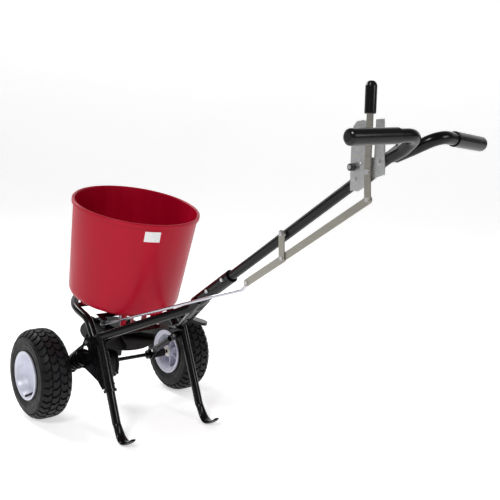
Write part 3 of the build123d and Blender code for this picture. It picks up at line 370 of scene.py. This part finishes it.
# The hopper: one rotationally moulded polyethylene bowl with a rolled bead, bolted to the cradle straps.
# Deep red right through, softly glossy, with faint streaks down the wall where the mould filled.
STREAK_WIDTH = 38 * MM
STREAK_LENGTH = 260 * MM
SKIN_GRAIN = 1.8 * MM
red_polyethylene, place = begin("moulded red polyethylene", IOR=1.51, Specular_IOR_Level=0.2)
streak_space = add(red_polyethylene, "ShaderNodeMapping", {"Vector": place, "Scale": (
    1 / STREAK_WIDTH, 1 / STREAK_WIDTH, 1 / STREAK_LENGTH)})
streaks = add(red_polyethylene, "ShaderNodeTexNoise", {"Vector": streak_space.outputs["Vector"], "Scale": 1.0,
                                                       "Detail": 4.0})
skin = add(red_polyethylene, "ShaderNodeTexNoise", {"Vector": place, "Scale": 1 / SKIN_GRAIN, "Detail": 2.0})
close(red_polyethylene,
      add(red_polyethylene, "ShaderNodeMixRGB", {"Fac": streaks.outputs["Fac"], "Color1": linear("#A20020"),
                                                 "Color2": linear("#B8042A")}),
      add(red_polyethylene, "ShaderNodeMapRange", {"Value": streaks.outputs["Fac"], "From Min": 0.3,
                                                   "From Max": 0.7, "To Min": 0.28, "To Max": 0.42}),
      add(red_polyethylene, "ShaderNodeBump", {"Height": skin.outputs["Fac"], "Strength": 0.12,
                                               "Distance": 0.12 * MM}))
dress(red_polyethylene, "hopper")

# The blank sticker on the hopper wall: gloss white vinyl, with no print.
# It lies on the curve of the wall and takes a very slight waviness from it.
VINYL_WAVE = 9 * MM
white_vinyl, place = begin("white vinyl sticker", IOR=1.5)
wave = add(white_vinyl, "ShaderNodeTexNoise", {"Vector": place, "Scale": 1 / VINYL_WAVE, "Detail": 2.0})
close(white_vinyl,
      add(white_vinyl, "ShaderNodeMixRGB", {"Fac": wave.outputs["Fac"], "Color1": linear("#E2E2E4"),
                                            "Color2": linear("#F2F2F3")}),
      add(white_vinyl, "ShaderNodeMapRange", {"Value": wave.outputs["Fac"], "From Min": 0.3, "From Max": 0.7,
                                              "To Min": 0.28, "To Max": 0.38}),
      add(white_vinyl, "ShaderNodeBump", {"Height": wave.outputs["Fac"], "Strength": 0.10,
                                          "Distance": 0.2 * MM}))
dress(white_vinyl, "label")

# The spreading disc and the two halves of the gear case.
# Black moulded plastic with a spark-eroded grain: dark and even, with a broad, dull shine.
SPARK_GRAIN = 1.1 * MM
MOULD_PATCH = 30 * MM
grained_plastic, place = begin("grained black plastic", IOR=1.46, Specular_IOR_Level=0.3)
spark = add(grained_plastic, "ShaderNodeTexNoise", {"Vector": place, "Scale": 1 / SPARK_GRAIN, "Detail": 3.0})
mould = add(grained_plastic, "ShaderNodeTexNoise", {"Vector": place, "Scale": 1 / MOULD_PATCH, "Detail": 4.0})
close(grained_plastic,
      add(grained_plastic, "ShaderNodeMixRGB", {"Fac": mould.outputs["Fac"], "Color1": linear("#060607"),
                                                "Color2": linear("#101012")}),
      add(grained_plastic, "ShaderNodeMapRange", {"Value": mould.outputs["Fac"], "From Min": 0.3,
                                                  "From Max": 0.7, "To Min": 0.42, "To Max": 0.56}),
      add(grained_plastic, "ShaderNodeBump", {"Height": spark.outputs["Fac"], "Strength": 0.3,
                                              "Distance": 0.1 * MM}))
dress(grained_plastic, "gear_case_left", "gear_case_right", "impeller")

# The two handle grips and the lever's grip.
# Black vinyl dipped over the metal: glossy and a little soft, with shallow ripples from dipping.
RIPPLE = 22 * MM
dipped_vinyl, place = begin("dipped black vinyl", IOR=1.52, Specular_IOR_Level=0.35)
ripple = add(dipped_vinyl, "ShaderNodeTexNoise", {"Vector": place, "Scale": 1 / RIPPLE, "Detail": 3.0})
close(dipped_vinyl,
      add(dipped_vinyl, "ShaderNodeMixRGB", {"Fac": ripple.outputs["Fac"], "Color1": linear("#050506"),
                                             "Color2": linear("#0C0C0E")}),
      add(dipped_vinyl, "ShaderNodeMapRange", {"Value": ripple.outputs["Fac"], "From Min": 0.3,
                                               "From Max": 0.7, "To Min": 0.20, "To Max": 0.26}),
      add(dipped_vinyl, "ShaderNodeBump", {"Height": ripple.outputs["Fac"], "Strength": 0.05,
                                           "Distance": 0.3 * MM}))
dress(dipped_vinyl, "grip_left", "grip_right", "lever_grip")

# The pale studio floor, which is not part of the spreader.
# Matt white painted board that sweeps up behind into a wall, glowing faintly as a lit studio sweep does.
FLOOR_HALF = 11.0
FLOOR_GAP = 0.0006
FRONT_EDGE = -9.0
BEND_START = 4.5
BEND = 2.0
WALL_TOP = 8.0
HEADING = math.atan2(-0.6414, 0.7519)
floor_paint, place = begin("matt white floor paint", Emission_Color=linear("#FFFFFF"), Emission_Strength=0.55)
mottled = add(floor_paint, "ShaderNodeTexNoise", {"Vector": place, "Scale": 2.0, "Detail": 3.0})
close(floor_paint,
      add(floor_paint, "ShaderNodeMixRGB", {"Fac": mottled.outputs["Fac"], "Color1": linear("#F2F2F2"),
                                            "Color2": linear("#F6F6F6")}),
      add(floor_paint, "ShaderNodeMapRange", {"Value": mottled.outputs["Fac"], "From Min": 0.0,
                                              "From Max": 1.0, "To Min": 0.75, "To Max": 0.85}),
      add(floor_paint, "ShaderNodeBump", {"Height": mottled.outputs["Fac"], "Strength": 0.02,
                                          "Distance": 0.5 * MM}))
mesh = bmesh.new()
profile = [(FRONT_EDGE, 0.0), (BEND_START, 0.0)]
for degrees in range(6, 91, 6):
    turn = math.radians(degrees)
    profile.append((BEND_START + BEND * math.sin(turn), BEND * (1 - math.cos(turn))))
profile.append((BEND_START + BEND, WALL_TOP))
rows = []
for along, height in profile:
    ends = [Vector((along, across, height - FLOOR_GAP)) for across in (-FLOOR_HALF, FLOOR_HALF)]
    rows.append([mesh.verts.new(Matrix.Rotation(HEADING, 3, "Z") @ end) for end in ends])
for low, high in zip(rows, rows[1:]):
    mesh.faces.new((low[0], high[0], high[1], low[1]))
floor = as_piece("studio_floor", mesh, floor_paint)

# Studio light: a white room and three large soft boxes, all aimed at the middle of the machine.
ROOM_STRENGTH = 0.16
SOFT_BOXES = [("key_light", (-1.2, 2.8, 3.0), 1.1, 58.0), ("fill_light", (-3.0, -0.8, 1.8), 1.0, 20.0),
              ("back_light", (2.4, 0.6, 2.6), 1.2, 44.0)]
AIM = Vector((0.0, 0.0, 0.45))
room = bpy.data.worlds.new("white_room")
room.use_nodes = True
room.node_tree.nodes["Background"].inputs["Color"].default_value = linear("#FFFFFF")
room.node_tree.nodes["Background"].inputs["Strength"].default_value = ROOM_STRENGTH
bpy.context.scene.world = room
for name, spot, size, power in SOFT_BOXES:
    lamp = bpy.data.lights.new(name, "AREA")
    lamp.shape = "DISK"
    lamp.size = size
    lamp.energy = power
    holder = bpy.data.objects.new(name, lamp)
    holder.location = spot
    holder.rotation_euler = (AIM - Vector(spot)).to_track_quat("-Z", "Y").to_euler()
    bpy.context.scene.collection.objects.link(holder)

# The camera stands behind the handle on the machine's left, a little above the hopper.
LENS_MM = 54.2
CAMERA_SPOT = (-1.5894, 1.2406, 0.9071)
TO_RIGHT = (-0.6421, -0.7647, 0.0506)
TO_TOP = (0.1486, -0.0595, 0.9869)
TO_BACK = (-0.7519, 0.6414, 0.1519)
lens = bpy.data.cameras.new("camera")
lens.lens = LENS_MM
camera = bpy.data.objects.new("camera", lens)
camera.matrix_world = Matrix.Translation(CAMERA_SPOT) @ Matrix(
    (TO_RIGHT, TO_TOP, TO_BACK)).transposed().to_quaternion().to_matrix().to_4x4()
bpy.context.scene.collection.objects.link(camera)
bpy.context.scene.camera = camera
bpy.context.scene.view_settings.view_transform = "Standard"
